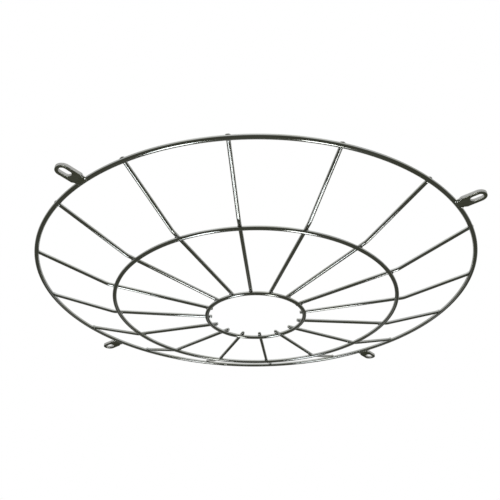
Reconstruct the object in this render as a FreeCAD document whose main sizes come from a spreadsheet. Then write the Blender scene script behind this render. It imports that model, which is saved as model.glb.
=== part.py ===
import FreeCAD, Part
import math
import os
import Sketcher

# Welded wire guard for a lamp, as it hangs in use: dish below, rim and tabs above.
# Millimetres, +Z up, origin on the axis, in the plane that the inner ring rests on.

SIZES = [
    # Three hoops of round wire
    ("ring_wire", 3.7, "wire of the middle and inner rings"),
    ("inner_ring_radius", 45.7, "centre line of the inner ring"),
    ("middle_ring_radius", 131.6, "centre line of the middle ring"),
    ("middle_ring_rise", 9.1, "middle ring above the inner ring, centre to centre"),
    ("rim_wire", 4.0, "wire of the rim"),
    ("rim_radius", 203.8, "centre line of the rim"),
    ("rim_rise", 34.0, "rim above the inner ring, centre to centre"),
    # Spokes
    ("spoke_wire", 3.3, "wire of the spokes"),
    ("set_down", 0.6, "depth that a weld presses a spoke over a ring"),
    ("stub_run", 3.9, "inner end of a spoke past the inner ring's centre"),
    ("bend_run", 7.0, "outside the middle ring, where the straights of a spoke would meet"),
    ("bend_round", 14.0, "radius of that bend, on the wire's centre line"),
    ("end_rise", 1.4, "outer straight of a spoke above the rim's centre"),
    ("tip_run", 1.2, "outer end of a spoke past the rim's centre"),
    ("swell_end", 4.8, "diameter of a spoke's swelled outer end"),
    ("swell_run", 3.0, "length of that swelling"),
    # Tabs, measured outward from the rim's centre line
    ("tab_gauge", 2.8, "thickness of a tab"),
    ("tab_drop", 1.0, "middle of a tab's thickness below the rim's centre"),
    ("tab_root", 0.3, "inner end of a tab"),
    ("tab_width", 12.4, "width of a tab"),
    ("tab_length", 24.0, "outer end of a tab"),
    ("neck_width", 9.0, "width of a tab's neck at the rim"),
    ("neck_run", 3.2, "place where a tab's shoulders begin"),
    ("shoulder_run", 6.0, "place where a tab's shoulders end"),
    ("slot_width", 6.2, "width of a slot"),
    ("slot_length", 10.8, "length of a slot, end to end"),
    ("slot_margin", 2.5, "metal between a slot and a tab's outer end"),
]
SPOKE_COUNT = 16
TAB_COUNT = 4
FIRST_SPOKE = 11.25
TOP_AXIS = FreeCAD.Vector(0, 0, 1)


class Size:
    """A value together with the formula that keeps it tied to the sheet."""

    def __init__(self, value, text):
        self.value = float(value)
        self.text = text

    def _join(self, other, sign, value):
        right = other.text if isinstance(other, Size) else repr(float(other))
        return Size(value, "(%s %s %s)" % (self.text, sign, right))

    def __add__(self, other):
        return self._join(other, "+", self.value + number(other))

    def __sub__(self, other):
        return self._join(other, "-", self.value - number(other))

    def __mul__(self, other):
        return self._join(other, "*", self.value * number(other))

    def __truediv__(self, other):
        return self._join(other, "/", self.value / number(other))

    def __neg__(self):
        return Size(-self.value, "(-1 * %s)" % self.text)


def number(thing):
    """Plain value of a size or of a number."""
    return thing.value if isinstance(thing, Size) else float(thing)


def sine(angle):
    return Size(math.sin(math.radians(angle.value)), "sin(%s * 1 deg)" % angle.text)


def cosine(angle):
    return Size(math.cos(math.radians(angle.value)), "cos(%s * 1 deg)" % angle.text)


def arcsine(part, whole):
    """Angle in degrees whose sine is one length over another."""
    share = part / whole
    return Size(math.degrees(math.asin(share.value)), "(asin(%s) / 1 deg)" % share.text)


def slope_of(rise, run):
    """Slope in degrees of a line with this rise and run."""
    share = rise / run
    return Size(math.degrees(math.atan(share.value)), "(atan(%s) / 1 deg)" % share.text)


def root(square):
    return Size(math.sqrt(square.value), "sqrt(%s)" % square.text)


doc = FreeCAD.newDocument("guard")
sheet = doc.addObject("Spreadsheet::Sheet", "Sizes")
size = {}
for row, (alias, value, note) in enumerate(SIZES, start=1):
    sheet.set("A%d" % row, note)
    sheet.set("B%d" % row, str(value))
    sheet.setAlias("B%d" % row, alias)
    size[alias] = Size(value, "Sizes." + alias)
doc.recompute()

# Heights and slopes that follow from the sheet
inner_z = size["ring_wire"] / 2
middle_z = inner_z + size["middle_ring_rise"]
rim_z = inner_z + size["rim_rise"]
tab_z = rim_z - size["tab_drop"] - size["tab_gauge"] / 2

# Radii that follow from it
bend_place = size["middle_ring_radius"] + size["bend_run"]
tab_reach = size["rim_radius"] + size["tab_length"]
neck_end = size["rim_radius"] + size["neck_run"]
shoulder_end = size["rim_radius"] + size["shoulder_run"]
slot_place = tab_reach - size["slot_margin"] - size["slot_length"] / 2

# Inner straight of a spoke, over the inner and middle rings
in_slope = slope_of(size["middle_ring_rise"], size["middle_ring_radius"] - size["inner_ring_radius"])
in_sin = sine(in_slope)
in_cos = cosine(in_slope)
ring_lift = (size["ring_wire"] + size["spoke_wire"]) / 2 - size["set_down"]
stub_x = size["inner_ring_radius"] - ring_lift * in_sin - size["stub_run"] * in_cos
stub_z = inner_z + ring_lift * in_cos - size["stub_run"] * in_sin
bend_z = stub_z + (bend_place - stub_x) * in_sin / in_cos

# Outer straight, from the bend to just past the middle of the rim
rim_run = size["rim_radius"] - bend_place
rim_climb = rim_z - bend_z
rim_span = root(rim_run * rim_run + rim_climb * rim_climb)
out_slope = slope_of(rim_climb, rim_run) + arcsine(size["end_rise"], rim_span)
out_run = root(rim_span * rim_span - size["end_rise"] * size["end_rise"]) + size["tip_run"]
end_x = bend_place + out_run * cosine(out_slope)
end_z = bend_z + out_run * sine(out_slope)


def origin_plane(body, role):
    """One of a body's own origin planes."""
    for feature in body.Origin.OriginFeatures:
        if feature.Role == role:
            return feature
    raise ValueError(role)


def new_body(name):
    body = doc.addObject("PartDesign::Body", name)
    body.Label = name
    return body


def new_sketch(body, role, name, shift=(), turn=None):
    """A sketch on an origin plane, moved and turned within it by sizes."""
    sketch = body.newObject("Sketcher::SketchObject", body.Name + "_" + name)
    sketch.AttachmentSupport = [(origin_plane(body, role), "")]
    sketch.MapMode = "FlatFace"
    if turn is not None:
        axis, angle = turn
        sketch.AttachmentOffset = FreeCAD.Placement(FreeCAD.Vector(), FreeCAD.Rotation(axis, angle.value))
        sketch.setExpression("AttachmentOffset.Rotation.Angle", angle.text)
    for letter, length in shift:
        sketch.setExpression("AttachmentOffset.Base." + letter, length.text)
    return sketch


def bind(sketch, kind, places, length):
    """Add one dimension to a sketch and tie it to a size."""
    index = sketch.addConstraint(Sketcher.Constraint(kind, *places, number(length)))
    if isinstance(length, Size):
        sketch.setExpression("Constraints[%d]" % index, length.text)


def pin(sketch, curve, end, point):
    """Hold one end of a curve at a point, measured from the sketch's origin."""
    for kind, axis, length in (("DistanceX", -2, point[0]), ("DistanceY", -1, point[1])):
        if number(length) == 0.0:
            sketch.addConstraint(Sketcher.Constraint("PointOnObject", curve, end, axis))
        else:
            bind(sketch, kind, (-1, 1, curve, end), length)


def flat(point):
    return FreeCAD.Vector(number(point[0]), number(point[1]), 0)


def add_polygon(sketch, points):
    """A closed outline of straight sides with every corner held."""
    first = None
    for index, point in enumerate(points):
        following = points[(index + 1) % len(points)]
        curve = sketch.addGeometry(Part.LineSegment(flat(point), flat(following)))
        first = curve if first is None else first
        pin(sketch, curve, 1, point)
    for index in range(len(points)):
        after = first + (index + 1) % len(points)
        sketch.addConstraint(Sketcher.Constraint("Coincident", first + index, 2, after, 1))


def add_circle(sketch, centre, radius):
    curve = sketch.addGeometry(Part.Circle(flat(centre), TOP_AXIS, number(radius)))
    pin(sketch, curve, 3, centre)
    bind(sketch, "Radius", (curve,), radius)


def add_half_round(sketch, centre_x, radius, outward):
    """Half a circle about a point of the sketch's X axis, bulging along it; returns the curve."""
    centre = FreeCAD.Vector(centre_x.value, 0, 0)
    start, stop = (-math.pi / 2, math.pi / 2) if outward else (math.pi / 2, 3 * math.pi / 2)
    circle = Part.Circle(centre, TOP_AXIS, radius.value)
    curve = sketch.addGeometry(Part.ArcOfCircle(circle, start, stop))
    pin(sketch, curve, 3, (centre_x, 0))
    bind(sketch, "Radius", (curve,), radius)
    return curve


def turned(body, kind, sketch, name, axis="V_Axis"):
    """A full turn of a section about one of its sketch's axes, added or cut away."""
    feature = body.newObject(kind, body.Name + "_" + name)
    feature.Profile = sketch
    feature.ReferenceAxis = (sketch, [axis])
    feature.Angle = 360.0
    body.Tip = feature
    return feature


def hoop(name, radius, height, wire):
    """A closed hoop of round wire."""
    body = new_body(name)
    section = new_sketch(body, "XZ_Plane", "section")
    add_circle(section, (radius, height), wire / 2)
    doc.recompute()
    turned(body, "PartDesign::Revolution", section, "hoop")
    return body


def spoke_line(body):
    """Centre line of a spoke: two straights with a round bend between."""
    line = new_sketch(body, "XZ_Plane", "line")
    tangent = size["bend_round"].value * math.tan(math.radians((out_slope.value - in_slope.value) / 2))
    bend = FreeCAD.Vector(bend_place.value, bend_z.value, 0)
    stub = flat((stub_x, stub_z))
    end = flat((end_x, end_z))
    low = bend + (stub - bend).normalize() * tangent
    high = bend + (end - bend).normalize() * tangent
    up = FreeCAD.Vector(-in_sin.value, in_cos.value, 0)
    centre = low + up * size["bend_round"].value
    inner = line.addGeometry(Part.LineSegment(stub, low))
    circle = Part.Circle(centre, TOP_AXIS, size["bend_round"].value)
    start = math.radians(in_slope.value - 90)
    stop = math.radians(out_slope.value - 90)
    arc = line.addGeometry(Part.ArcOfCircle(circle, start, stop))
    outer = line.addGeometry(Part.LineSegment(high, end))
    line.addConstraint(Sketcher.Constraint("Tangent", inner, 2, arc, 1))
    line.addConstraint(Sketcher.Constraint("Tangent", arc, 2, outer, 1))
    pin(line, inner, 1, (stub_x, stub_z))
    pin(line, outer, 2, (end_x, end_z))
    bind(line, "Radius", (arc,), size["bend_round"])
    for curve, slope in ((inner, in_slope), (outer, out_slope)):
        index = line.addConstraint(Sketcher.Constraint("Angle", curve, math.radians(slope.value)))
        line.setExpression("Constraints[%d]" % index, "%s * 1 deg" % slope.text)
    return line


def spoke(name, angle):
    """One spoke, saddled over the two rings and with its outer end notched for the rim."""
    body = new_body(name)
    line = spoke_line(body)
    lay = (FreeCAD.Vector(-1, 0, 0), in_slope)
    section = new_sketch(body, "YZ_Plane", "section", (("z", stub_x), ("y", stub_z)), lay)
    add_circle(section, (0, 0), size["spoke_wire"] / 2)
    doc.recompute()
    wire = body.newObject("PartDesign::AdditivePipe", name + "_wire")
    wire.Profile = section
    wire.Spine = (line, ["Edge1", "Edge2", "Edge3"])
    body.Tip = wire
    doc.recompute()
    swell = new_sketch(body, "XZ_Plane", "swell", (("x", end_x), ("y", end_z)), (TOP_AXIS, out_slope))
    back = -size["swell_run"]
    inside = size["spoke_wire"] * 0.45
    add_polygon(swell, [(back, 0), (0, 0), (0, size["swell_end"] / 2), (back, inside)])
    doc.recompute()
    turned(body, "PartDesign::Revolution", swell, "outer_end", "H_Axis")
    doc.recompute()
    seats = new_sketch(body, "XZ_Plane", "seats")
    add_circle(seats, (size["inner_ring_radius"], inner_z), size["ring_wire"] / 2)
    add_circle(seats, (size["middle_ring_radius"], middle_z), size["ring_wire"] / 2)
    add_circle(seats, (size["rim_radius"], rim_z), size["rim_wire"] / 2)
    doc.recompute()
    turned(body, "PartDesign::Groove", seats, "saddles")
    body.Placement = FreeCAD.Placement(FreeCAD.Vector(), FreeCAD.Rotation(TOP_AXIS, angle))
    return body


def tab_outline(sketch):
    """Neck, sloping shoulders, straight sides and a round outer end, with the slot inside."""
    half = size["tab_width"] / 2
    neck = size["neck_width"] / 2
    inner_end = size["rim_radius"] + size["tab_root"]
    round_x = tab_reach - half
    side = [(round_x, half), (shoulder_end, half), (neck_end, neck), (inner_end, neck)]
    points = side + [(x, -y) for x, y in reversed(side)]
    first = None
    for index in range(len(points) - 1):
        curve = sketch.addGeometry(Part.LineSegment(flat(points[index]), flat(points[index + 1])))
        first = curve if first is None else first
        if index > 0:
            pin(sketch, curve, 1, points[index])
            sketch.addConstraint(Sketcher.Constraint("Coincident", curve - 1, 2, curve, 1))
    last = first + len(points) - 2
    end = add_half_round(sketch, round_x, half, True)
    sketch.addConstraint(Sketcher.Constraint("Tangent", end, 2, first, 1))
    sketch.addConstraint(Sketcher.Constraint("Tangent", last, 2, end, 1))


def slot_outline(sketch):
    """A slot with round ends along the radius."""
    radius = size["slot_width"] / 2
    reach = size["slot_length"] / 2 - radius
    low = slot_place - reach
    high = slot_place + reach
    outer = add_half_round(sketch, high, radius, True)
    inner = add_half_round(sketch, low, radius, False)
    upper = sketch.addGeometry(Part.LineSegment(flat((high, radius)), flat((low, radius))))
    lower = sketch.addGeometry(Part.LineSegment(flat((low, -radius)), flat((high, -radius))))
    for one, other in ((outer, upper), (upper, inner), (inner, lower), (lower, outer)):
        sketch.addConstraint(Sketcher.Constraint("Tangent", one, 2, other, 1))


def tab(name, angle):
    """One slotted tab, its inner end hollowed to fit the rim."""
    body = new_body(name)
    outline = new_sketch(body, "XY_Plane", "outline", (("z", tab_z),))
    tab_outline(outline)
    slot_outline(outline)
    doc.recompute()
    plate = body.newObject("PartDesign::Pad", name + "_plate")
    plate.Profile = outline
    plate.setExpression("Length", size["tab_gauge"].text)
    body.Tip = plate
    doc.recompute()
    seat = new_sketch(body, "XZ_Plane", "seat")
    add_circle(seat, (size["rim_radius"], rim_z), size["rim_wire"] / 2)
    doc.recompute()
    turned(body, "PartDesign::Groove", seat, "hollow")
    body.Placement = FreeCAD.Placement(FreeCAD.Vector(), FreeCAD.Rotation(TOP_AXIS, angle))
    return body


nodes = [
    hoop("outer_rim", size["rim_radius"], rim_z, size["rim_wire"]),
    hoop("middle_ring", size["middle_ring_radius"], middle_z, size["ring_wire"]),
    hoop("inner_ring", size["inner_ring_radius"], inner_z, size["ring_wire"]),
]
for index in range(SPOKE_COUNT):
    nodes.append(spoke("spoke_%02d" % (index + 1), FIRST_SPOKE + index * 360.0 / SPOKE_COUNT))
for index in range(TAB_COUNT):
    nodes.append(tab("tab_%02d" % (index + 1), index * 360.0 / TAB_COUNT))
doc.recompute()

for item in doc.Objects:
    if "Invalid" in item.State or "Error" in item.State:
        raise RuntimeError("%s: %s" % (item.Name, item.State))
os.makedirs("parts", exist_ok=True)
for node in nodes:
    shape = node.Shape
    if shape.isNull() or not shape.isValid() or len(shape.Solids) != 1:
        raise RuntimeError("%s is not one sound solid" % node.Label)
    shape.exportStep("parts/%s.step" % node.Label)
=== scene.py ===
import logging
import math
from dataclasses import dataclass
from enum import Enum
from typing import Any

import bmesh
import bpy
from mathutils import Matrix, Vector


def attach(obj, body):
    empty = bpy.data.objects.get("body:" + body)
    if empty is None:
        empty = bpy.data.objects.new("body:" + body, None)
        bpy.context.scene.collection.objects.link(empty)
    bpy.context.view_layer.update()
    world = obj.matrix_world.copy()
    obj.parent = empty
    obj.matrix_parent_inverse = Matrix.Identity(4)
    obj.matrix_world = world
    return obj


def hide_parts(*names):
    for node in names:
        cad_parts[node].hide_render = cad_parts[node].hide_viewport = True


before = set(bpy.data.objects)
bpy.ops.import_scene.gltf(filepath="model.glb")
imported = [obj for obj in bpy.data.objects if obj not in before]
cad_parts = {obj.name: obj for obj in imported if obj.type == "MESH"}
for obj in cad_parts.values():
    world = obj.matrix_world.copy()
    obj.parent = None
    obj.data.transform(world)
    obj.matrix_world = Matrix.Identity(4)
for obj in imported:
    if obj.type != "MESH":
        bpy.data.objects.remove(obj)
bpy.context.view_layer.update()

LOG = logging.getLogger("bulb_guard")
MM = 0.001
BODY = "root"
UP = Vector((0.0, 0.0, 1.0))

# Spokes and tabs round the axis
SPOKE_COUNT = 16
SPOKE_STEP = math.tau / SPOKE_COUNT
FIRST_SPOKE = SPOKE_STEP / 2
TAB_COUNT = 4
FIRST_TAB = 0.0

# Rounded plate edges, and the angle from which an edge shades as sharp
EDGE_STEPS = 3
EDGE_ANGLE = math.radians(32)
SHARP_ANGLE = math.radians(38)

# Kinds of value
Colour = tuple[float, float, float]
Triple = tuple[float, float, float]
Range = tuple[float, float]
Settings = dict[str, Any]
Sockets = dict[str | int, Any]

# White light, and the tint of the plating at a glancing angle
WHITE: Colour = (1.0, 1.0, 1.0)
GLANCING_TINT: Colour = (0.56, 0.56, 0.55)


class Attribute(str, Enum):
    """Values that the meshes carry for their finishes."""

    ALONG = "along"
    SIDE = "side"
    HEAT = "heat"
    PLACE = "place"
    SHEARED = "sheared"


class Signal:
    """A value that leaves a node, with arithmetic that adds nodes to the same tree."""

    def __init__(self, net: "Net", socket: bpy.types.NodeSocket) -> None:
        """Wrap one output socket of a tree."""
        self.net = net
        self.socket = socket

    def maths(self, operation: str, *others: "Signal | float") -> "Signal":
        """Join this value and others, in that order, in one Math node."""
        sockets = dict(enumerate((self, *others)))
        return self.net.out("ShaderNodeMath", {"operation": operation}, sockets)

    def reverse(self, operation: str, first: float) -> "Signal":
        """Join a plain number and this value in one Math node, the number first."""
        return self.net.out("ShaderNodeMath", {"operation": operation}, {0: first, 1: self})

    def __add__(self, other: "Signal | float") -> "Signal":
        """Sum."""
        return self.maths("ADD", other)

    def __radd__(self, other: float) -> "Signal":
        """Sum with a number on the left."""
        return self.reverse("ADD", other)

    def __sub__(self, other: "Signal | float") -> "Signal":
        """Difference."""
        return self.maths("SUBTRACT", other)

    def __rsub__(self, other: float) -> "Signal":
        """A number less this value."""
        return self.reverse("SUBTRACT", other)

    def __mul__(self, other: "Signal | float") -> "Signal":
        """Product."""
        return self.maths("MULTIPLY", other)

    def __rmul__(self, other: float) -> "Signal":
        """Product with a number on the left."""
        return self.reverse("MULTIPLY", other)

    def __truediv__(self, other: "Signal | float") -> "Signal":
        """Quotient."""
        return self.maths("DIVIDE", other)

    def __rtruediv__(self, other: float) -> "Signal":
        """A number over this value."""
        return self.reverse("DIVIDE", other)

    def __neg__(self) -> "Signal":
        """This value with its sign changed."""
        return self.maths("MULTIPLY", -1.0)

    def __abs__(self) -> "Signal":
        """This value without its sign."""
        return self.maths("ABSOLUTE")

    def bell(self, width: "Signal | float") -> "Signal":
        """A bell curve that is 1 where this value is 0, and about a third at the given width."""
        share = self / width
        return (-(share * share)).maths("EXPONENT")

    def within(self, span: Range) -> "Signal":
        """This value mapped smoothly from a range to 0 to 1."""
        sockets = {"Value": self, "From Min": span[0], "From Max": span[1]}
        return self.net.out("ShaderNodeMapRange", {"interpolation_type": "SMOOTHSTEP"}, sockets)

    def toward(self, other: "Signal", share: "Signal | float") -> "Signal":
        """This value mixed with another, by the other's share."""
        return self * (1.0 - share) + other * share


def solid(colour: Signal | Colour) -> Signal | tuple[float, float, float, float]:
    """A colour with full opacity, or a link as it is."""
    return colour if isinstance(colour, Signal) else (*colour, 1.0)


class Net:
    """A node tree and the one method that adds nodes to it."""

    def __init__(self, tree: bpy.types.NodeTree) -> None:
        """Take a tree to add nodes to."""
        self.tree = tree

    def node(
        self, kind: str, settings: Settings | None = None, sockets: Sockets | None = None
    ) -> bpy.types.Node:
        """Add a node.

        Args:
            kind: The node's type.
            settings: Its properties, set first.
            sockets: Values or links by socket name, identifier or number.

        Returns:
            The new node.
        """
        made = self.tree.nodes.new(kind)
        for name, value in (settings or {}).items():
            setattr(made, name, value)
        for key, value in (sockets or {}).items():
            target = self.pick(made.inputs, key)
            if isinstance(value, Signal):
                self.tree.links.new(value.socket, target)
            else:
                target.default_value = value
        return made

    def out(
        self,
        kind: str,
        settings: Settings | None = None,
        sockets: Sockets | None = None,
        output: str | int = 0,
    ) -> Signal:
        """Add a node and take one of its outputs, by name, identifier or number."""
        made = self.node(kind, settings, sockets)
        return Signal(self, self.pick(made.outputs, output))

    @staticmethod
    def pick(sockets: Any, key: str | int) -> bpy.types.NodeSocket:
        """Find a socket by number, identifier or name.

        Args:
            sockets: A node's inputs or outputs.
            key: What to look for.

        Returns:
            The socket.
        """
        if isinstance(key, int):
            return sockets[key]
        for socket in sockets:
            if socket.identifier == key:
                return socket
        return next(socket for socket in sockets if socket.name == key and socket.enabled)

    def mix(self, factor: Signal, low: Signal | Colour, high: Signal | Colour) -> Signal:
        """Mix two colours, from the first at 0 to the second at 1."""
        sockets = {"Factor_Float": factor, "A_Color": solid(low), "B_Color": solid(high)}
        return self.out("ShaderNodeMix", {"data_type": "RGBA"}, sockets, "Result_Color")

    def combine(self, x: Signal | float, y: Signal | float, z: Signal | float) -> Signal:
        """Three numbers as one vector."""
        return self.out("ShaderNodeCombineXYZ", None, {"X": x, "Y": y, "Z": z})

    def split(self, vector: Signal) -> tuple[Signal, Signal, Signal]:
        """The three numbers of a vector."""
        made = self.node("ShaderNodeSeparateXYZ", None, {0: vector})
        return tuple(Signal(self, socket) for socket in made.outputs)

    def scaled(self, vector: Signal, scale: Signal) -> Signal:
        """A vector times a number."""
        return self.out("ShaderNodeVectorMath", {"operation": "SCALE"}, {0: vector, "Scale": scale})


def added(name: str, data: bpy.types.ID) -> bpy.types.Object:
    """Put a new object into the scene.

    Args:
        name: The object's name.
        data: Its mesh, light or camera.

    Returns:
        The object, at the origin.
    """
    thing = bpy.data.objects.new(name, data)
    bpy.context.scene.collection.objects.link(thing)
    return thing


def as_mesh(name: str, shape: bmesh.types.BMesh) -> bpy.types.Mesh:
    """Turn a shape into a mesh and let the shape go.

    Args:
        name: The mesh's name.
        shape: The finished shape.

    Returns:
        The mesh.
    """
    mesh = bpy.data.meshes.new(name)
    shape.to_mesh(mesh)
    shape.free()
    return mesh


class Maker(Net):
    """A geometry node tree with named sizes, which turns into a plain mesh."""

    def __init__(self, name: str) -> None:
        """Start an empty tree.

        Args:
            name: The tree's name.
        """
        super().__init__(bpy.data.node_groups.new(name, "GeometryNodeTree"))
        for direction in ("INPUT", "OUTPUT"):
            self.tree.interface.new_socket(
                name="Geometry", in_out=direction, socket_type="NodeSocketGeometry"
            )
        self.values: dict[str, Any] = {}
        self.entry = self.node("NodeGroupInput")
        self.start = Signal(self, self.entry.outputs[0])
        self.position = self.out("GeometryNodeInputPosition")

    def size(self, name: str, value: float | int | Vector) -> Signal:
        """Add a named input.

        Args:
            name: The input's name.
            value: The value that the modifier gets.

        Returns:
            The input inside the tree.
        """
        kinds = {int: "NodeSocketInt", float: "NodeSocketFloat", Vector: "NodeSocketVector"}
        kind = kinds[type(value)]
        item = self.tree.interface.new_socket(name=name, in_out="INPUT", socket_type=kind)
        self.values[item.identifier] = value
        return Signal(self, self.pick(self.entry.outputs, item.identifier))

    def store(self, geometry: Signal, name: Attribute, value: Signal, kind: str = "FLOAT") -> Signal:
        """Keep a value on the points of a shape.

        Args:
            geometry: The shape.
            name: The attribute's name.
            value: The value at each point.
            kind: The attribute's data type.

        Returns:
            The shape with the attribute.
        """
        settings = {"data_type": kind, "domain": "POINT"}
        sockets = {"Geometry": geometry, "Name": name.value, "Value": value}
        return self.out("GeometryNodeStoreNamedAttribute", settings, sockets)

    def circle(self, radius: Signal, steps: int) -> Signal:
        """A closed round curve about the upright axis."""
        sockets = {"Resolution": steps, "Radius": radius}
        return self.out("GeometryNodeCurvePrimitiveCircle", None, sockets)

    def turn(self, angle: Signal) -> Signal:
        """A rotation about the upright axis."""
        return self.out("FunctionNodeEulerToRotation", None, {0: self.combine(0.0, 0.0, angle)})

    def section(self, wire: Signal, sides: int) -> Signal:
        """Round section of a wire, each point knowing its side.

        Args:
            wire: The wire's diameter.
            sides: The number of points.

        Returns:
            The section's curve.
        """
        radius = wire * 0.5
        side = self.scaled(self.position, 1.0 / radius)
        return self.store(self.circle(radius, sides), Attribute.SIDE, side, "FLOAT_VECTOR")

    def sweep(self, line: Signal, section: Signal, scale: Signal) -> Signal:
        """A section carried along a line, with closed ends.

        Args:
            line: The centre line.
            section: The section's curve.
            scale: The section's size along the line.

        Returns:
            The swept mesh.
        """
        upright = self.out("GeometryNodeSetCurveNormal", {"mode": "Z_UP"}, {"Curve": line})
        sockets = {"Curve": upright, "Profile Curve": section, "Scale": scale, "Fill Caps": True}
        return self.out("GeometryNodeCurveToMesh", None, sockets)

    def around(self, shape: Signal, count: Signal, first: Signal, reach: Signal | float = 0.0) -> Signal:
        """Copies of a shape turned about the upright axis.

        Args:
            shape: The shape, lying along the X axis.
            count: The number of copies.
            first: The angle of the first copy.
            reach: How far each copy is moved out along its own direction.

        Returns:
            The instances.
        """
        angle = first + self.out("GeometryNodeInputIndex") * (math.tau / count)
        place = self.combine(angle.maths("COSINE") * reach, angle.maths("SINE") * reach, 0.0)
        points = self.out("GeometryNodePoints", None, {"Count": count, "Position": place})
        sockets = {"Points": points, "Instance": shape, "Rotation": self.turn(angle)}
        return self.out("GeometryNodeInstanceOnPoints", None, sockets)

    def real(self, geometry: Signal) -> Signal:
        """Instances as real geometry."""
        return self.out("GeometryNodeRealizeInstances", None, {"Geometry": geometry})

    def close(self, geometry: Signal, material: bpy.types.Material) -> None:
        """End the tree in real geometry with a material.

        Args:
            geometry: What the tree made.
            material: Its finish.
        """
        smooth = self.out("GeometryNodeSetShadeSmooth", None, {"Geometry": geometry})
        sockets = {"Geometry": self.real(smooth), "Material": material}
        dressed = self.out("GeometryNodeSetMaterial", None, sockets)
        self.node("NodeGroupOutput", None, {0: dressed})

    def make(self, name: str, start: bpy.types.Mesh | None = None, bevel: float = 0.0) -> bpy.types.Object:
        """Run the tree once and keep its result as a plain mesh.

        Args:
            name: The piece's name.
            start: The mesh that enters the tree.
            bevel: Width of a rounded edge on that mesh.

        Returns:
            The piece, with no modifier left on it.
        """
        piece = added(name, start or bpy.data.meshes.new(name + "_start"))
        if bevel:
            edge = piece.modifiers.new("edge", "BEVEL")
            edge.width = bevel
            edge.segments = EDGE_STEPS
            edge.limit_method = "ANGLE"
            edge.angle_limit = EDGE_ANGLE
        form = piece.modifiers.new("form", "NODES")
        form.node_group = self.tree
        for identifier, value in self.values.items():
            form[identifier] = value
        graph = bpy.context.evaluated_depsgraph_get()
        mesh = bpy.data.meshes.new_from_object(
            piece.evaluated_get(graph), preserve_all_data_layers=True, depsgraph=graph
        )
        piece.modifiers.clear()
        piece.data = mesh
        mesh.name = name
        mesh.set_sharp_from_angle(angle=SHARP_ANGLE)
        return piece


@dataclass(frozen=True)
class Grain:
    """One layer of soft noise: waves to a unit, and the finer layers added to it."""

    scale: float
    detail: float

    def sockets(self, place: Signal) -> Sockets:
        """Inputs of the noise at a place."""
        return {"Vector": place, "Scale": self.scale, "Detail": self.detail}


class Finish:
    """A material in the making, and the nodes that the finishes share."""

    def __init__(self, name: str) -> None:
        """Start an empty material.

        Args:
            name: The material's name.
        """
        self.material = bpy.data.materials.new(name)
        self.material.use_nodes = True
        self.net = Net(self.material.node_tree)
        self.net.tree.nodes.clear()

    def place(self) -> Signal:
        """Place on the object, in its own coordinates."""
        return self.net.out("ShaderNodeTexCoord", None, None, "Object")

    def read(self, name: Attribute, output: str = "Fac") -> Signal:
        """An attribute of the mesh."""
        return self.net.out("ShaderNodeAttribute", {"attribute_name": name.value}, None, output)

    def noise(self, place: Signal, grain: Grain) -> Signal:
        """Soft noise from 0 to 1."""
        return self.net.out("ShaderNodeTexNoise", None, grain.sockets(place), "Fac")

    def stretched(self, values: tuple[Signal, Signal, Signal], stretch: Triple) -> Signal:
        """A place whose three numbers are each multiplied by their own stretch."""
        return self.net.combine(*(value * times for value, times in zip(values, stretch)))

    def metal(self, colour: Signal, roughness: Signal, height: Signal, depth: float) -> None:
        """End the material in metal.

        Args:
            colour: Base colour.
            roughness: Roughness.
            height: Relief from 0 to 1.
            depth: Height of that relief.
        """
        relief = {"Strength": 1.0, "Distance": depth, "Height": height}
        sockets = {
            "Base Color": colour,
            "Metallic": 1.0,
            "Roughness": roughness,
            "Specular Tint": solid(GLANCING_TINT),
            "Normal": self.net.out("ShaderNodeBump", None, relief),
        }
        self.end(self.net.out("ShaderNodeBsdfPrincipled", None, sockets))

    def end(self, shader: Signal) -> None:
        """End the material in a shader."""
        self.net.node("ShaderNodeOutputMaterial", None, {"Surface": shader})


@dataclass(frozen=True)
class DrawnWire:
    """Bright plating on drawn wire: faint lines along it, clouding, dull rings at the welds."""

    name: str = "plated_wire"
    bright: Colour = (0.445, 0.455, 0.445)
    olive: Colour = (0.365, 0.373, 0.337)
    scorched: Colour = (0.285, 0.287, 0.27)
    scorch: float = 0.75
    lines: Grain = Grain(scale=2.6, detail=3.0)
    line_stretch: Triple = (16.0, 3.4, 3.4)
    line_span: Range = (0.42, 0.72)
    line_share: float = 0.25
    cloud: Grain = Grain(scale=34.0, detail=3.0)
    tone_span: Range = (0.36, 0.66)
    speckle: Grain = Grain(scale=1500.0, detail=2.0)
    speckle_share: float = 0.2
    roughness: float = 0.07
    line_dulling: float = 0.1
    heat_dulling: float = 0.2
    relief: float = 0.005 * MM

    def build(self) -> bpy.types.Material:
        """Make the material.

        Returns:
            The finish of hoops and spokes.
        """
        kit = Finish(self.name)
        heat = kit.read(Attribute.HEAT)
        x, y, _ = kit.net.split(kit.read(Attribute.SIDE, "Vector"))
        lines = kit.noise(kit.stretched((kit.read(Attribute.ALONG), x, y), self.line_stretch), self.lines)
        cloud = kit.noise(kit.place(), self.cloud)
        speckle = kit.noise(kit.place(), self.speckle)
        tone = cloud.toward(lines, self.line_share).within(self.tone_span)
        clean = kit.net.mix(tone, self.bright, self.olive)
        colour = kit.net.mix(heat * self.scorch, clean, self.scorched)
        dulling = lines.within(self.line_span) * self.line_dulling + heat * self.heat_dulling
        kit.metal(colour, self.roughness + dulling, lines.toward(speckle, self.speckle_share), self.relief)
        return kit.material


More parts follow.
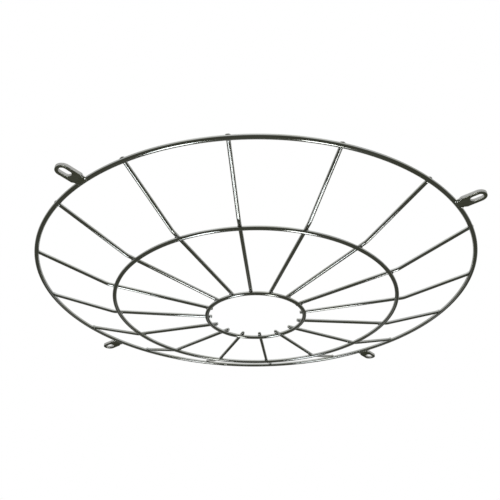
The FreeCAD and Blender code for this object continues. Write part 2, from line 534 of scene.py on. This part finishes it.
@dataclass(frozen=True)
class RolledPlate:
    """Bright plating on stamped plate: rolled faces, lighter sheared walls with fine upright lines."""

    name: str = "plated_plate"
    bright: Colour = (0.44, 0.448, 0.415)
    olive: Colour = (0.36, 0.367, 0.305)
    wall: Colour = (0.40, 0.40, 0.385)
    wall_span: Range = (0.3, 0.7)
    rolled: Grain = Grain(scale=1.0, detail=3.0)
    rolled_stretch: Triple = (260.0, 1900.0, 260.0)
    shear: Grain = Grain(scale=1.0, detail=2.0)
    shear_stretch: Triple = (2300.0, 2300.0, 160.0)
    grain_span: Range = (0.35, 0.75)
    cloud: Grain = Grain(scale=120.0, detail=3.0)
    cloud_span: Range = (0.34, 0.64)
    cloud_share: float = 0.2
    roughness: float = 0.10
    grain_dulling: float = 0.14
    wall_dulling: float = 0.14
    relief: float = 0.012 * MM

    def build(self) -> bpy.types.Material:
        """Make the material.

        Returns:
            The finish of the tabs.
        """
        kit = Finish(self.name)
        place = kit.net.split(kit.read(Attribute.PLACE, "Vector"))
        sheared = kit.read(Attribute.SHEARED).within(self.wall_span)
        rolled = kit.noise(kit.stretched(place, self.rolled_stretch), self.rolled)
        shear = kit.noise(kit.stretched(place, self.shear_stretch), self.shear)
        cloud = kit.noise(kit.place(), self.cloud)
        face = kit.net.mix(cloud.within(self.cloud_span), self.bright, self.olive)
        colour = kit.net.mix(sheared, face, self.wall)
        grain = rolled.toward(shear, sheared)
        dulling = grain.within(self.grain_span) * self.grain_dulling + sheared * self.wall_dulling
        kit.metal(colour, self.roughness + dulling, grain.toward(cloud, self.cloud_share), self.relief)
        return kit.material


@dataclass(frozen=True)
class WeldMetal:
    """Plated weld metal: rippled, with darker hollows."""

    name: str
    bright: Colour
    dark: Colour
    roughness: float
    relief: float
    ripple: Grain = Grain(scale=900.0, detail=2.0)
    patch: Grain = Grain(scale=260.0, detail=3.0)
    patch_span: Range = (0.38, 0.66)
    patch_share: float = 0.3
    patch_dulling: float = 0.15

    def build(self) -> bpy.types.Material:
        """Make the material.

        Returns:
            The finish of the welds.
        """
        kit = Finish(self.name)
        ripple = kit.noise(kit.place(), self.ripple)
        patch = kit.noise(kit.place(), self.patch)
        colour = kit.net.mix(patch.within(self.patch_span), self.bright, self.dark)
        roughness = self.roughness + patch * self.patch_dulling
        kit.metal(colour, roughness, ripple.toward(patch, self.patch_share), self.relief)
        return kit.material


class WeldKind(Enum):
    """The two kinds of weld metal: beads at the tabs in pale metal whose colour is partly a painted
    highlight, and duller flash where wires cross.
    """

    # The beads' pale colour is a painted highlight: it stands in for the bright glints where the tab necks
    # meet the rim.
    BEAD = WeldMetal(
        name="plated_bead_painted_highlight",
        bright=(0.76, 0.765, 0.75),
        dark=(0.6, 0.6, 0.58),
        roughness=0.1,
        relief=0.03 * MM,
    )
    FLASH = WeldMetal(
        name="plated_flash",
        bright=(0.42, 0.42, 0.4),
        dark=(0.28, 0.28, 0.26),
        roughness=0.2,
        relief=0.06 * MM,
    )


def settle(piece: bpy.types.Object, *nodes: str) -> None:
    """Give a piece its body and the solids that it stands for.

    Args:
        piece: The finished piece.
        nodes: The solids that it replaces.
    """
    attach(piece, BODY)
    if nodes:
        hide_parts(*nodes)
    LOG.info("%s: %d faces", piece.name, len(piece.data.polygons))


@dataclass
class Hoop:
    """A closed hoop of round wire, butt welded in one place."""

    name: str
    node: str
    radius: float
    height: float
    wire: float
    steps: int
    joint: float
    joint_swell: float = 0.07
    joint_width: float = 2.6 * MM
    joint_heat: float = 0.9
    heat_width: float = 5.0 * MM
    sides: int = 18

    def build(self, finish: bpy.types.Material) -> bpy.types.Object:
        """Sweep the wire round the axis.

        Args:
            finish: The wire's material.

        Returns:
            The hoop.
        """
        form = Maker(self.name + "_form")
        radius = form.size("Radius", self.radius)
        height = form.size("Height", self.height)
        wire = form.size("Wire", self.wire)
        joint = form.size("Joint angle", self.joint)
        swell = form.size("Joint swell", self.joint_swell)
        step = form.size("Spoke step", SPOKE_STEP)
        first = form.size("First spoke", FIRST_SPOKE)
        sockets = {
            "Geometry": form.circle(radius, self.steps),
            "Translation": form.combine(0.0, 0.0, height),
            "Rotation": form.turn(first),
        }
        line = form.out("GeometryNodeTransform", None, sockets)
        run = form.out("GeometryNodeSplineParameter", None, None, "Length")
        line = form.store(line, Attribute.ALONG, run)
        x, y, _ = form.split(form.position)
        angle = y.maths("ARCTAN2", x)
        steps_off = (angle - first) / step
        off_weld = abs(steps_off - steps_off.maths("ROUND")) * step * radius
        off_joint = (angle - joint) * radius
        joint_heat = off_joint.bell(self.heat_width) * self.joint_heat
        heat = off_weld.bell(self.heat_width).maths("MAXIMUM", joint_heat)
        line = form.store(line, Attribute.HEAT, heat)
        scale = 1.0 + off_joint.bell(self.joint_width) * swell
        form.close(form.sweep(line, form.section(wire, self.sides), scale), finish)
        return form.make(self.name)

    def dress(self, finish: bpy.types.Material) -> None:
        """Build the hoop in a wire's finish and hand it over."""
        settle(self.build(finish), self.node)


@dataclass(frozen=True)
class Rings:
    """Sizes of the rim and the two rings, which the other pieces follow."""

    inner_radius: float = 45.7 * MM
    middle_radius: float = 131.6 * MM
    rim_radius: float = 203.8 * MM
    middle_rise: float = 9.1 * MM
    rim_rise: float = 34.0 * MM
    ring_wire: float = 3.7 * MM
    rim_wire: float = 4.0 * MM

    @property
    def inner_height(self) -> float:
        """Centre height of the inner ring."""
        return self.ring_wire / 2

    @property
    def middle_height(self) -> float:
        """Centre height of the middle ring."""
        return self.inner_height + self.middle_rise

    @property
    def rim_height(self) -> float:
        """Centre height of the rim."""
        return self.inner_height + self.rim_rise

    def hoops(self) -> tuple[Hoop, Hoop, Hoop]:
        """The rim, the middle ring and the inner ring.

        Returns:
            The three hoops.
        """
        rim = Hoop(
            name="rim_hoop",
            node="outer_rim",
            radius=self.rim_radius,
            height=self.rim_height,
            wire=self.rim_wire,
            steps=720,
            joint=2.45,
        )
        middle = Hoop(
            name="middle_hoop",
            node="middle_ring",
            radius=self.middle_radius,
            height=self.middle_height,
            wire=self.ring_wire,
            steps=480,
            joint=1.28,
        )
        inner = Hoop(
            name="inner_hoop",
            node="inner_ring",
            radius=self.inner_radius,
            height=self.inner_height,
            wire=self.ring_wire,
            steps=224,
            joint=2.82,
        )
        return rim, middle, inner


@dataclass
class Spokes:
    """Sixteen wires with one bend, over the rings and pressed on the rim."""

    rings: Rings
    wire: float = 3.3 * MM
    set_down: float = 0.6 * MM
    stub_run: float = 3.9 * MM
    bend_run: float = 7.0 * MM
    bend_round: float = 14.0 * MM
    bend_steps: int = 14
    end_rise: float = 1.4 * MM
    tip_run: float = 1.2 * MM
    swell_end: float = 4.8 * MM
    swell_run: float = 3.6 * MM
    end_round: float = 0.9 * MM
    end_flat: float = 0.45
    heat_width: float = 4.5 * MM
    end_heat_width: float = 6.3 * MM
    steps: int = 200
    crowding: float = 0.985
    sides: int = 14

    def corners(self) -> tuple[Vector, Vector, Vector]:
        """Inner end, bend and outer end of a centre line along the X axis.

        Returns:
            The three points.
        """
        rings = self.rings
        slope = math.atan2(rings.middle_rise, rings.middle_radius - rings.inner_radius)
        along = Vector((math.cos(slope), 0.0, math.sin(slope)))
        upward = Vector((-math.sin(slope), 0.0, math.cos(slope)))
        seat = Vector((rings.inner_radius, 0.0, rings.inner_height))
        lift = (rings.ring_wire + self.wire) / 2 - self.set_down
        stub = seat + upward * lift - along * self.stub_run
        bend_place = rings.middle_radius + self.bend_run
        bend = stub + along * ((bend_place - stub.x) / along.x)
        rim = Vector((rings.rim_radius, 0.0, rings.rim_height))
        reach = (rim - bend).length
        steep = math.atan2(rim.z - bend.z, rim.x - bend.x) + math.asin(self.end_rise / reach)
        run = math.sqrt(reach**2 - self.end_rise**2) + self.tip_run
        end = bend + Vector((math.cos(steep), 0.0, math.sin(steep))) * run
        return stub, bend, end

    def start(self) -> bpy.types.Mesh:
        """The three points joined by two edges.

        Returns:
            The mesh of the bent line.
        """
        mesh = bpy.data.meshes.new("spoke_line")
        mesh.from_pydata([tuple(point) for point in self.corners()], [(0, 1), (1, 2)], [])
        return mesh

    def build(self, finish: bpy.types.Material) -> bpy.types.Object:
        """Sweep one spoke and repeat it round the axis.

        Args:
            finish: The wire's material.

        Returns:
            All the spokes as one mesh.
        """
        form = Maker("spoke_form")
        wire = form.size("Wire", self.wire)
        bend_round = form.size("Bend radius", self.bend_round)
        swell_end = form.size("Swelled end", self.swell_end)
        swell_run = form.size("Swelled run", self.swell_run)
        end_round = form.size("End rounding", self.end_round)
        count = form.size("Count", SPOKE_COUNT)
        first = form.size("First angle", FIRST_SPOKE)
        bent = form.out("GeometryNodeMeshToCurve", None, {0: form.start})
        sockets = {"Curve": bent, "Count": self.bend_steps, "Radius": bend_round}
        rounded = form.out("GeometryNodeFilletCurve", {"mode": "POLY"}, sockets)
        length = form.out("GeometryNodeCurveLength", None, {0: rounded})
        line = self.centre_line(form, rounded, length)
        settings = {"data_type": "FLOAT"}
        run = form.out("GeometryNodeInputNamedAttribute", settings, {"Name": Attribute.ALONG.value})
        left = length - run
        line = form.store(line, Attribute.HEAT, self.heat(run, left))
        swell = (1.0 - (left / swell_run).maths("MINIMUM", 1.0)) * (swell_end / wire - 1.0)
        scale = (1.0 + swell) * self.rounding(run, end_round) * self.rounding(left, end_round)
        one = form.sweep(line, form.section(wire, self.sides), scale)
        form.close(form.around(one, count, first), finish)
        return form.make("spokes", self.start())

    def centre_line(self, form: Maker, rounded: Signal, length: Signal) -> Signal:
        """Points along the bent line, closer together at its two ends.

        Args:
            form: The tree.
            rounded: The bent line.
            length: Its length.

        Returns:
            The line, each point knowing its distance from the inner end.
        """
        line = form.out("GeometryNodeCurvePrimitiveLine", None, {"End": (1.0, 0.0, 0.0)})
        line = form.out("GeometryNodeResampleCurve", None, {"Curve": line, "Count": self.steps})
        evenly = form.split(form.position)[0]
        share = evenly - (evenly * math.tau).maths("SINE") * (self.crowding / math.tau)
        settings = {"mode": "FACTOR", "use_all_curves": False}
        place = form.out("GeometryNodeSampleCurve", settings, {0: rounded, "Factor": share}, "Position")
        line = form.store(line, Attribute.ALONG, share * length)
        return form.out("GeometryNodeSetPosition", None, {"Geometry": line, "Position": place})

    def heat(self, run: Signal, left: Signal) -> Signal:
        """How near a point is to one of the spoke's three welds.

        Args:
            run: Distance from the inner end.
            left: Distance from the outer end.

        Returns:
            1 at a weld, falling to 0 away from it.
        """
        rings = self.rings
        middle_run = self.stub_run + math.hypot(rings.middle_radius - rings.inner_radius, rings.middle_rise)
        inner = (run - self.stub_run).bell(self.heat_width)
        middle = (run - middle_run).bell(self.heat_width)
        return inner.maths("MAXIMUM", middle).maths("MAXIMUM", left.bell(self.end_heat_width))

    def rounding(self, distance: Signal, end_round: Signal) -> Signal:
        """Narrowing of a wire towards its cut end, to a small flat, as a share of its diameter."""
        short = 1.0 - (distance / end_round).maths("MINIMUM", 1.0)
        return self.end_flat + (1.0 - short * short).maths("SQRT") * (1.0 - self.end_flat)

    def dress(self, finish: bpy.types.Material) -> None:
        """Build the spokes in a wire's finish and hand them over."""
        nodes = ["spoke_%02d" % (number + 1) for number in range(SPOKE_COUNT)]
        settle(self.build(finish), *nodes)


@dataclass
class Tabs:
    """Four slotted plates on the outside of the rim."""

    rings: Rings
    gauge: float = 2.8 * MM
    drop: float = 1.0 * MM
    root: float = 0.3 * MM
    width: float = 12.4 * MM
    reach: float = 227.8 * MM
    neck_width: float = 9.0 * MM
    neck_end: float = 207.0 * MM
    shoulder_end: float = 209.8 * MM
    slot_width: float = 6.2 * MM
    slot_length: float = 10.8 * MM
    slot_place: float = 219.9 * MM
    edge: float = 0.28 * MM
    arc_steps: int = 14
    side_steps: int = 4

    @property
    def height(self) -> float:
        """Middle height of the plates."""
        return self.rings.rim_height - self.drop

    def half_outline(self) -> list[Vector]:
        """Outer edge of a tab from its outer end to its inner end, on one side.

        Returns:
            The points, the first on the tab's own axis.
        """
        half = self.width / 2
        half_neck = self.neck_width / 2
        centre = self.reach - half
        root = self.rings.rim_radius + self.root
        points = []
        for step in range(self.arc_steps + 1):
            angle = math.pi / 2 * step / self.arc_steps
            points.append(Vector((centre + half * math.cos(angle), half * math.sin(angle))))
        for step in range(self.side_steps):
            share = (step + 1) / self.side_steps
            points.append(Vector((centre + (self.shoulder_end - centre) * share, half)))
        points.append(Vector((self.neck_end, half_neck)))
        points.append(Vector((root, half_neck)))
        points.append(Vector((root, 0.0)))
        return points

    def half_slot(self, shares: list[float]) -> list[Vector]:
        """Edge of the slot on one side, at given shares of its length.

        Args:
            shares: Shares from the slot's outer end to its inner end.

        Returns:
            The points.
        """
        radius = self.slot_width / 2
        straight = self.slot_length - self.slot_width
        arc = radius * math.pi / 2
        points = []
        for share in shares:
            run = share * (2 * arc + straight)
            if run < arc:
                angle = run / radius
                offset = Vector((straight / 2 + radius * math.cos(angle), radius * math.sin(angle)))
            elif run < arc + straight:
                offset = Vector((straight / 2 - (run - arc), radius))
            else:
                angle = math.pi / 2 + (run - arc - straight) / radius
                offset = Vector((radius * math.cos(angle) - straight / 2, radius * math.sin(angle)))
            points.append(offset + Vector((self.slot_place, 0.0)))
        return points

    def start(self) -> bpy.types.Mesh:
        """One tab along the X axis, with its slot.

        Returns:
            The closed mesh.
        """
        upper = self.half_outline()
        runs = [0.0]
        for one, other in zip(upper, upper[1:]):
            runs.append(runs[-1] + (other - one).length)
        slot = self.half_slot([run / runs[-1] for run in runs])
        slot[-1].y = 0.0
        outer, inner = (
            half + [Vector((point.x, -point.y)) for point in half[-2:0:-1]] for half in (upper, slot)
        )
        low = self.height - self.gauge / 2
        high = low + self.gauge
        blank = bmesh.new()
        rows = []
        for loop, height in ((outer, low), (outer, high), (inner, high), (inner, low)):
            rows.append([blank.verts.new((point.x, point.y, height)) for point in loop])
        for number, row in enumerate(rows):
            following = rows[(number + 1) % len(rows)]
            for index in range(len(row)):
                after = (index + 1) % len(row)
                blank.faces.new((row[index], row[after], following[after], following[index]))
        bmesh.ops.recalc_face_normals(blank, faces=blank.faces)
        return as_mesh("tab_blank", blank)

    def build(self, finish: bpy.types.Material) -> bpy.types.Object:
        """Round the tab's edges and repeat it round the axis.

        Args:
            finish: The plate's material.

        Returns:
            All the tabs as one mesh.
        """
        form = Maker("tab_form")
        count = form.size("Count", TAB_COUNT)
        first = form.size("First angle", FIRST_TAB)
        centre = form.size("Centre", Vector((self.slot_place, 0.0, self.height)))
        sockets = {0: form.position, 1: centre}
        place = form.out("ShaderNodeVectorMath", {"operation": "SUBTRACT"}, sockets)
        tab = form.store(form.start, Attribute.PLACE, place, "FLOAT_VECTOR")
        level = abs(form.split(form.out("GeometryNodeInputNormal"))[2])
        tab = form.store(tab, Attribute.SHEARED, 1.0 - level)
        form.close(form.around(tab, count, first), finish)
        return form.make("tabs", self.start(), self.edge)

    def dress(self, finish: bpy.types.Material) -> None:
        """Build the tabs in a plate's finish and hand them over."""
        nodes = ["tab_%02d" % (number + 1) for number in range(TAB_COUNT)]
        settle(self.build(finish), *nodes)


@dataclass
class Welds:
    """A set of equal lumps of weld metal round the axis."""

    name: str
    kind: WeldKind
    reach: float
    height: float
    size: Triple
    count: int
    first: float
    aside: float = 0.0
    uneven: float = 0.22 * MM
    wave: Grain = Grain(scale=520.0, detail=1.0)
    least: float = 0.9
    most: float = 1.1
    seed: int = 4
    subdivisions: int = 4

    def build(self, finish: bpy.types.Material) -> bpy.types.Object:
        """Repeat one lump round the axis, each a little different.

        Args:
            finish: The weld's material.

        Returns:
            The lumps as one mesh.
        """
        form = Maker(self.name + "_form")
        reach = form.size("Reach", self.reach)
        height = form.size("Height", self.height)
        size = form.size("Size", Vector(self.size))
        count = form.size("Count", self.count)
        first = form.size("First angle", self.first)
        aside = form.size("Aside", self.aside)
        uneven = form.size("Unevenness", self.uneven)
        seed = form.size("Seed", self.seed)
        sockets = {"Radius": 1.0, "Subdivisions": self.subdivisions}
        lump = form.out("GeometryNodeMeshIcoSphere", None, sockets)
        place = form.combine(0.0, aside, height)
        sockets = {"Geometry": lump, "Translation": place, "Scale": size}
        lump = form.out("GeometryNodeTransform", None, sockets)
        lumps = form.around(lump, count, first, reach)
        sockets = {"Min_001": self.least, "Max_001": self.most, "Seed": seed}
        vary = form.out("FunctionNodeRandomValue", {"data_type": "FLOAT"}, sockets, "Value_001")
        sockets = {"Instances": lumps, "Scale": form.combine(vary, vary, vary), "Center": place}
        lumps = form.real(form.out("GeometryNodeScaleInstances", None, sockets))
        wave = form.out("ShaderNodeTexNoise", None, self.wave.sockets(form.position))
        push = form.scaled(form.out("GeometryNodeInputNormal"), (wave - 0.5) * uneven)
        rough = form.out("GeometryNodeSetPosition", None, {"Geometry": lumps, "Offset": push})
        form.close(rough, finish)
        return form.make(self.name)

    def dress(self, finish: bpy.types.Material) -> None:
        """Build the lumps in a weld's finish and hand them over."""
        settle(self.build(finish))


class NeckSide(Enum):
    """The two sides of a tab's neck, seen from the axis outwards."""

    LEFT = 1
    RIGHT = -1


@dataclass
class WeldPlan:
    """Where the guard is welded, and how large each weld is."""

    rings: Rings
    spokes: Spokes
    tabs: Tabs
    flash: Triple = (2.35 * MM, 2.35 * MM, 0.85 * MM)
    lump: Triple = (2.0 * MM, 2.6 * MM, 1.5 * MM)
    lump_out: float = 0.1 * MM
    lump_lift: float = 1.6 * MM
    bead: Triple = (2.4 * MM, 1.25 * MM, 1.55 * MM)
    bead_out: float = 2.0 * MM
    bead_drop: float = 0.9 * MM
    bead_aside: float = 0.3 * MM

    @staticmethod
    def crossings(name: str, reach: float, height: float, size: Triple) -> Welds:
        """Welds where the spokes cross a hoop."""
        return Welds(name, WeldKind.FLASH, reach, height, size, SPOKE_COUNT, FIRST_SPOKE)

    def corners(self, name: str, side: NeckSide) -> Welds:
        """Beads in the corners between the rim and one side of the tabs' necks.

        Args:
            name: The set's name.
            side: The necks' side.

        Returns:
            The set.
        """
        reach = self.rings.rim_radius + self.bead_out
        height = self.rings.rim_height - self.bead_drop
        aside = side.value * (self.tabs.neck_width / 2 + self.bead_aside)
        return Welds(name, WeldKind.BEAD, reach, height, self.bead, TAB_COUNT, FIRST_TAB, aside)

    def sets(self) -> tuple[Welds, ...]:
        """All the welds, from the axis outwards.

        Returns:
            The five sets.
        """
        rings = self.rings
        contact = rings.ring_wire / 2 - self.spokes.set_down / 2
        rim_reach = rings.rim_radius + self.lump_out
        rim_height = rings.rim_height + self.lump_lift
        return (
            self.crossings("inner_welds", rings.inner_radius, rings.inner_height + contact, self.flash),
            self.crossings("middle_welds", rings.middle_radius, rings.middle_height + contact, self.flash),
            self.crossings("rim_welds", rim_reach, rim_height, self.lump),
            self.corners("tab_beads_left", NeckSide.LEFT),
            self.corners("tab_beads_right", NeckSide.RIGHT),
        )


class Aim(Enum):
    """Where a soft lamp faces."""

    CENTRE = "centre"
    UPWARD = "upward"


@dataclass(frozen=True)
class SoftBox:
    """A soft lamp, placed by its distances to the right, away from the camera and up."""

    name: str
    place: Triple
    aim: Aim
    power: float
    width: float
    depth: float
    colour: Colour

    def light(self) -> bpy.types.Light:
        """The lamp's light.

        Returns:
            A rectangle of light.
        """
        light = bpy.data.lights.new(self.name, "AREA")
        light.shape = "RECTANGLE"
        light.size = self.width
        light.size_y = self.depth
        light.energy = self.power
        light.color = self.colour
        return light


def facing(side: Vector, back: Vector) -> Matrix:
    """A turn that puts the X axis along one direction and the Z axis along another."""
    return Matrix((side, back.cross(side), back)).transposed().to_4x4()


@dataclass
class Studio:
    """White surround, pale floor, soft lamps, a dark glowing bowl seen only in the metal, which paints its
    reflections, and the camera.

    The bowl's and the patch's angles are in degrees.
    """

    camera_place: Triple = (0.3079, -0.3819, -0.2441)
    camera_right: Triple = (0.7717, 0.6360, 0.0)
    camera_forward: Triple = (-0.5321, 0.6456, 0.5477)
    lens: float = 41.63
    sensor: float = 36.0
    nearest: float = 0.01
    farthest: float = 50.0
    ambient: float = 0.85
    floor_height: float = -0.95
    floor_radius: float = 9.0
    floor_sides: int = 96
    floor_colour: Colour = (0.86, 0.86, 0.855)
    floor_roughness: float = 0.9
    bowl_radius: float = 0.55
    bowl_sides: int = 64
    bowl_rows: int = 48
    bowl_tilt: float = 8.0
    bowl_edge: float = 16.0
    bowl_fade: float = 4.0
    # The bowl's colours are painted reflection: dark where the metal mirrors shade, pale at the edge, and a
    # paler patch away from the camera and low down.
    bowl_dark: Colour = (0.098, 0.101, 0.08)
    bowl_pale: Colour = (0.8, 0.8, 0.79)
    patch_low: float = 35.0
    patch_inner: float = 8.0
    patch_outer: float = 20.0
    patch_colour: Colour = (0.32, 0.32, 0.31)
    boxes: tuple[SoftBox, ...] = (
        SoftBox(
            name="top_box",
            place=(0.0, -0.25, 1.3),
            aim=Aim.CENTRE,
            power=2.5,
            width=1.2,
            depth=1.2,
            colour=(1.0, 0.995, 0.98),
        ),
        SoftBox(
            name="left_box",
            place=(-0.195, -0.03, -0.45),
            aim=Aim.UPWARD,
            power=0.6,
            width=0.11,
            depth=0.24,
            colour=(0.92, 0.96, 1.0),
        ),
        SoftBox(
            name="right_box",
            place=(0.165, -0.03, -0.48),
            aim=Aim.UPWARD,
            power=0.45,
            width=0.10,
            depth=0.18,
            colour=(0.97, 0.98, 1.0),
        ),
    )

    @property
    def right(self) -> Vector:
        """Level direction to the camera's right."""
        return Vector(self.camera_right)

    @property
    def away(self) -> Vector:
        """Level direction from the camera to the object."""
        return Vector((*self.camera_forward[:2], 0.0)).normalized()

    def build(self) -> None:
        """Set up everything around the object."""
        self.white_world()
        self.floor()
        self.bowl()
        self.lamps()
        self.camera()
        bpy.context.scene.view_settings.view_transform = "Standard"

    def white_world(self) -> None:
        """White where it is seen directly or mirrored, softer as a source of light."""
        world = bpy.data.worlds.new("surround")
        world.use_nodes = True
        bpy.context.scene.world = world
        net = Net(world.node_tree)
        net.tree.nodes.clear()
        path = net.node("ShaderNodeLightPath")
        seen = Signal(net, path.outputs["Is Camera Ray"])
        for name in ("Is Glossy Ray", "Is Transmission Ray"):
            seen = seen.maths("MAXIMUM", Signal(net, path.outputs[name]))
        light, plain = (
            net.out("ShaderNodeBackground", None, {"Color": solid(WHITE), "Strength": strength})
            for strength in (self.ambient, 1.0)
        )
        both = net.out("ShaderNodeMixShader", None, {0: seen, 1: light, 2: plain})
        net.node("ShaderNodeOutputWorld", None, {"Surface": both})

    def floor(self) -> None:
        """A wide pale floor well below the object."""
        sheet = bmesh.new()
        bmesh.ops.create_circle(sheet, cap_ends=True, segments=self.floor_sides, radius=self.floor_radius)
        mesh = as_mesh("floor", sheet)
        mesh.transform(Matrix.Translation(UP * self.floor_height))
        kit = Finish("pale_floor")
        sockets = {"Base Color": solid(self.floor_colour), "Roughness": self.floor_roughness}
        kit.end(kit.net.out("ShaderNodeBsdfPrincipled", None, sockets))
        mesh.materials.append(kit.material)
        added("floor", mesh)

    def bowl(self) -> None:
        """A dark glowing bowl under the object that only mirrors show, higher on the camera's side: a
        painted reflection for the metal's dark cores.
        """
        tilt = math.radians(self.bowl_tilt)
        axis = self.away * math.sin(tilt) + UP * math.cos(tilt)
        shell = bmesh.new()
        bmesh.ops.create_uvsphere(
            shell, u_segments=self.bowl_sides, v_segments=self.bowl_rows, radius=self.bowl_radius
        )
        edge = self.bowl_radius * math.sin(math.radians(self.bowl_edge))
        above = [vert for vert in shell.verts if vert.co.z > edge]
        bmesh.ops.delete(shell, geom=above, context="VERTS")
        shell.transform(facing(self.right.normalized(), axis))
        mesh = as_mesh("bowl", shell)
        mesh.materials.append(self.bowl_painted_reflection(axis))
        bowl = added("bowl", mesh)
        bowl.visible_camera = False
        bowl.visible_diffuse = False
        bowl.visible_shadow = False
        bowl.visible_transmission = False

    def bowl_painted_reflection(self, axis: Vector) -> bpy.types.Material:
        """Painted reflection: dark inside with a pale edge and a paler patch at the far bottom.

        Args:
            axis: The bowl's upright axis.

        Returns:
            The material.
        """
        kit = Finish("bowl_painted_reflection")
        net = kit.net
        place = kit.place()
        low = math.radians(self.patch_low)
        patch = self.away * math.cos(low) - UP * math.sin(low)
        settings = {"operation": "DOT_PRODUCT"}
        height, near_patch = (
            net.out("ShaderNodeVectorMath", settings, {0: place, 1: way / self.bowl_radius}, "Value")
            for way in (axis, patch)
        )
        fade, edge = (math.sin(math.radians(angle)) for angle in (self.bowl_fade, self.bowl_edge))
        outer, inner = (math.cos(math.radians(angle)) for angle in (self.patch_outer, self.patch_inner))
        colour = net.mix(height.within((fade, edge)), self.bowl_dark, self.bowl_pale)
        colour = net.mix(near_patch.within((outer, inner)), colour, self.patch_colour)
        # The bowl glows in these painted colours and is seen only in reflections.
        kit.end(net.out("ShaderNodeEmission", None, {"Color": colour, "Strength": 1.0}))
        return kit.material

    def lamps(self) -> None:
        """A large soft box above, and two small ones below to the left and right."""
        for box in self.boxes:
            aside, away, up = box.place
            place = self.right * aside + self.away * away + UP * up
            back = -UP if box.aim is Aim.UPWARD else place.normalized()
            side = (self.right - back * self.right.dot(back)).normalized()
            lamp = added(box.name, box.light())
            lamp.matrix_world = Matrix.Translation(place) @ facing(side, back)
            lamp.visible_camera = False

    def camera(self) -> None:
        """A camera at the viewing angle, for a square frame."""
        data = bpy.data.cameras.new("camera")
        data.lens = self.lens
        data.sensor_fit = "AUTO"
        data.sensor_width = self.sensor
        data.clip_start = self.nearest
        data.clip_end = self.farthest
        camera = added("camera", data)
        turn = facing(self.right.normalized(), -Vector(self.camera_forward).normalized())
        camera.matrix_world = Matrix.Translation(self.camera_place) @ turn
        bpy.context.scene.camera = camera


def main() -> None:
    """Build the guard piece by piece, then the studio."""
    logging.basicConfig(level=logging.INFO, format="%(name)s %(message)s")
    wire = DrawnWire().build()
    plate = RolledPlate().build()
    weld_metals = {kind: kind.value.build() for kind in WeldKind}
    rings = Rings()
    spokes = Spokes(rings)
    tabs = Tabs(rings)
    for hoop in rings.hoops():
        hoop.dress(wire)
    spokes.dress(wire)
    tabs.dress(plate)
    for welds in WeldPlan(rings, spokes, tabs).sets():
        welds.dress(weld_metals[welds.kind])
    Studio().build()


if __name__ == "__main__":
    main()
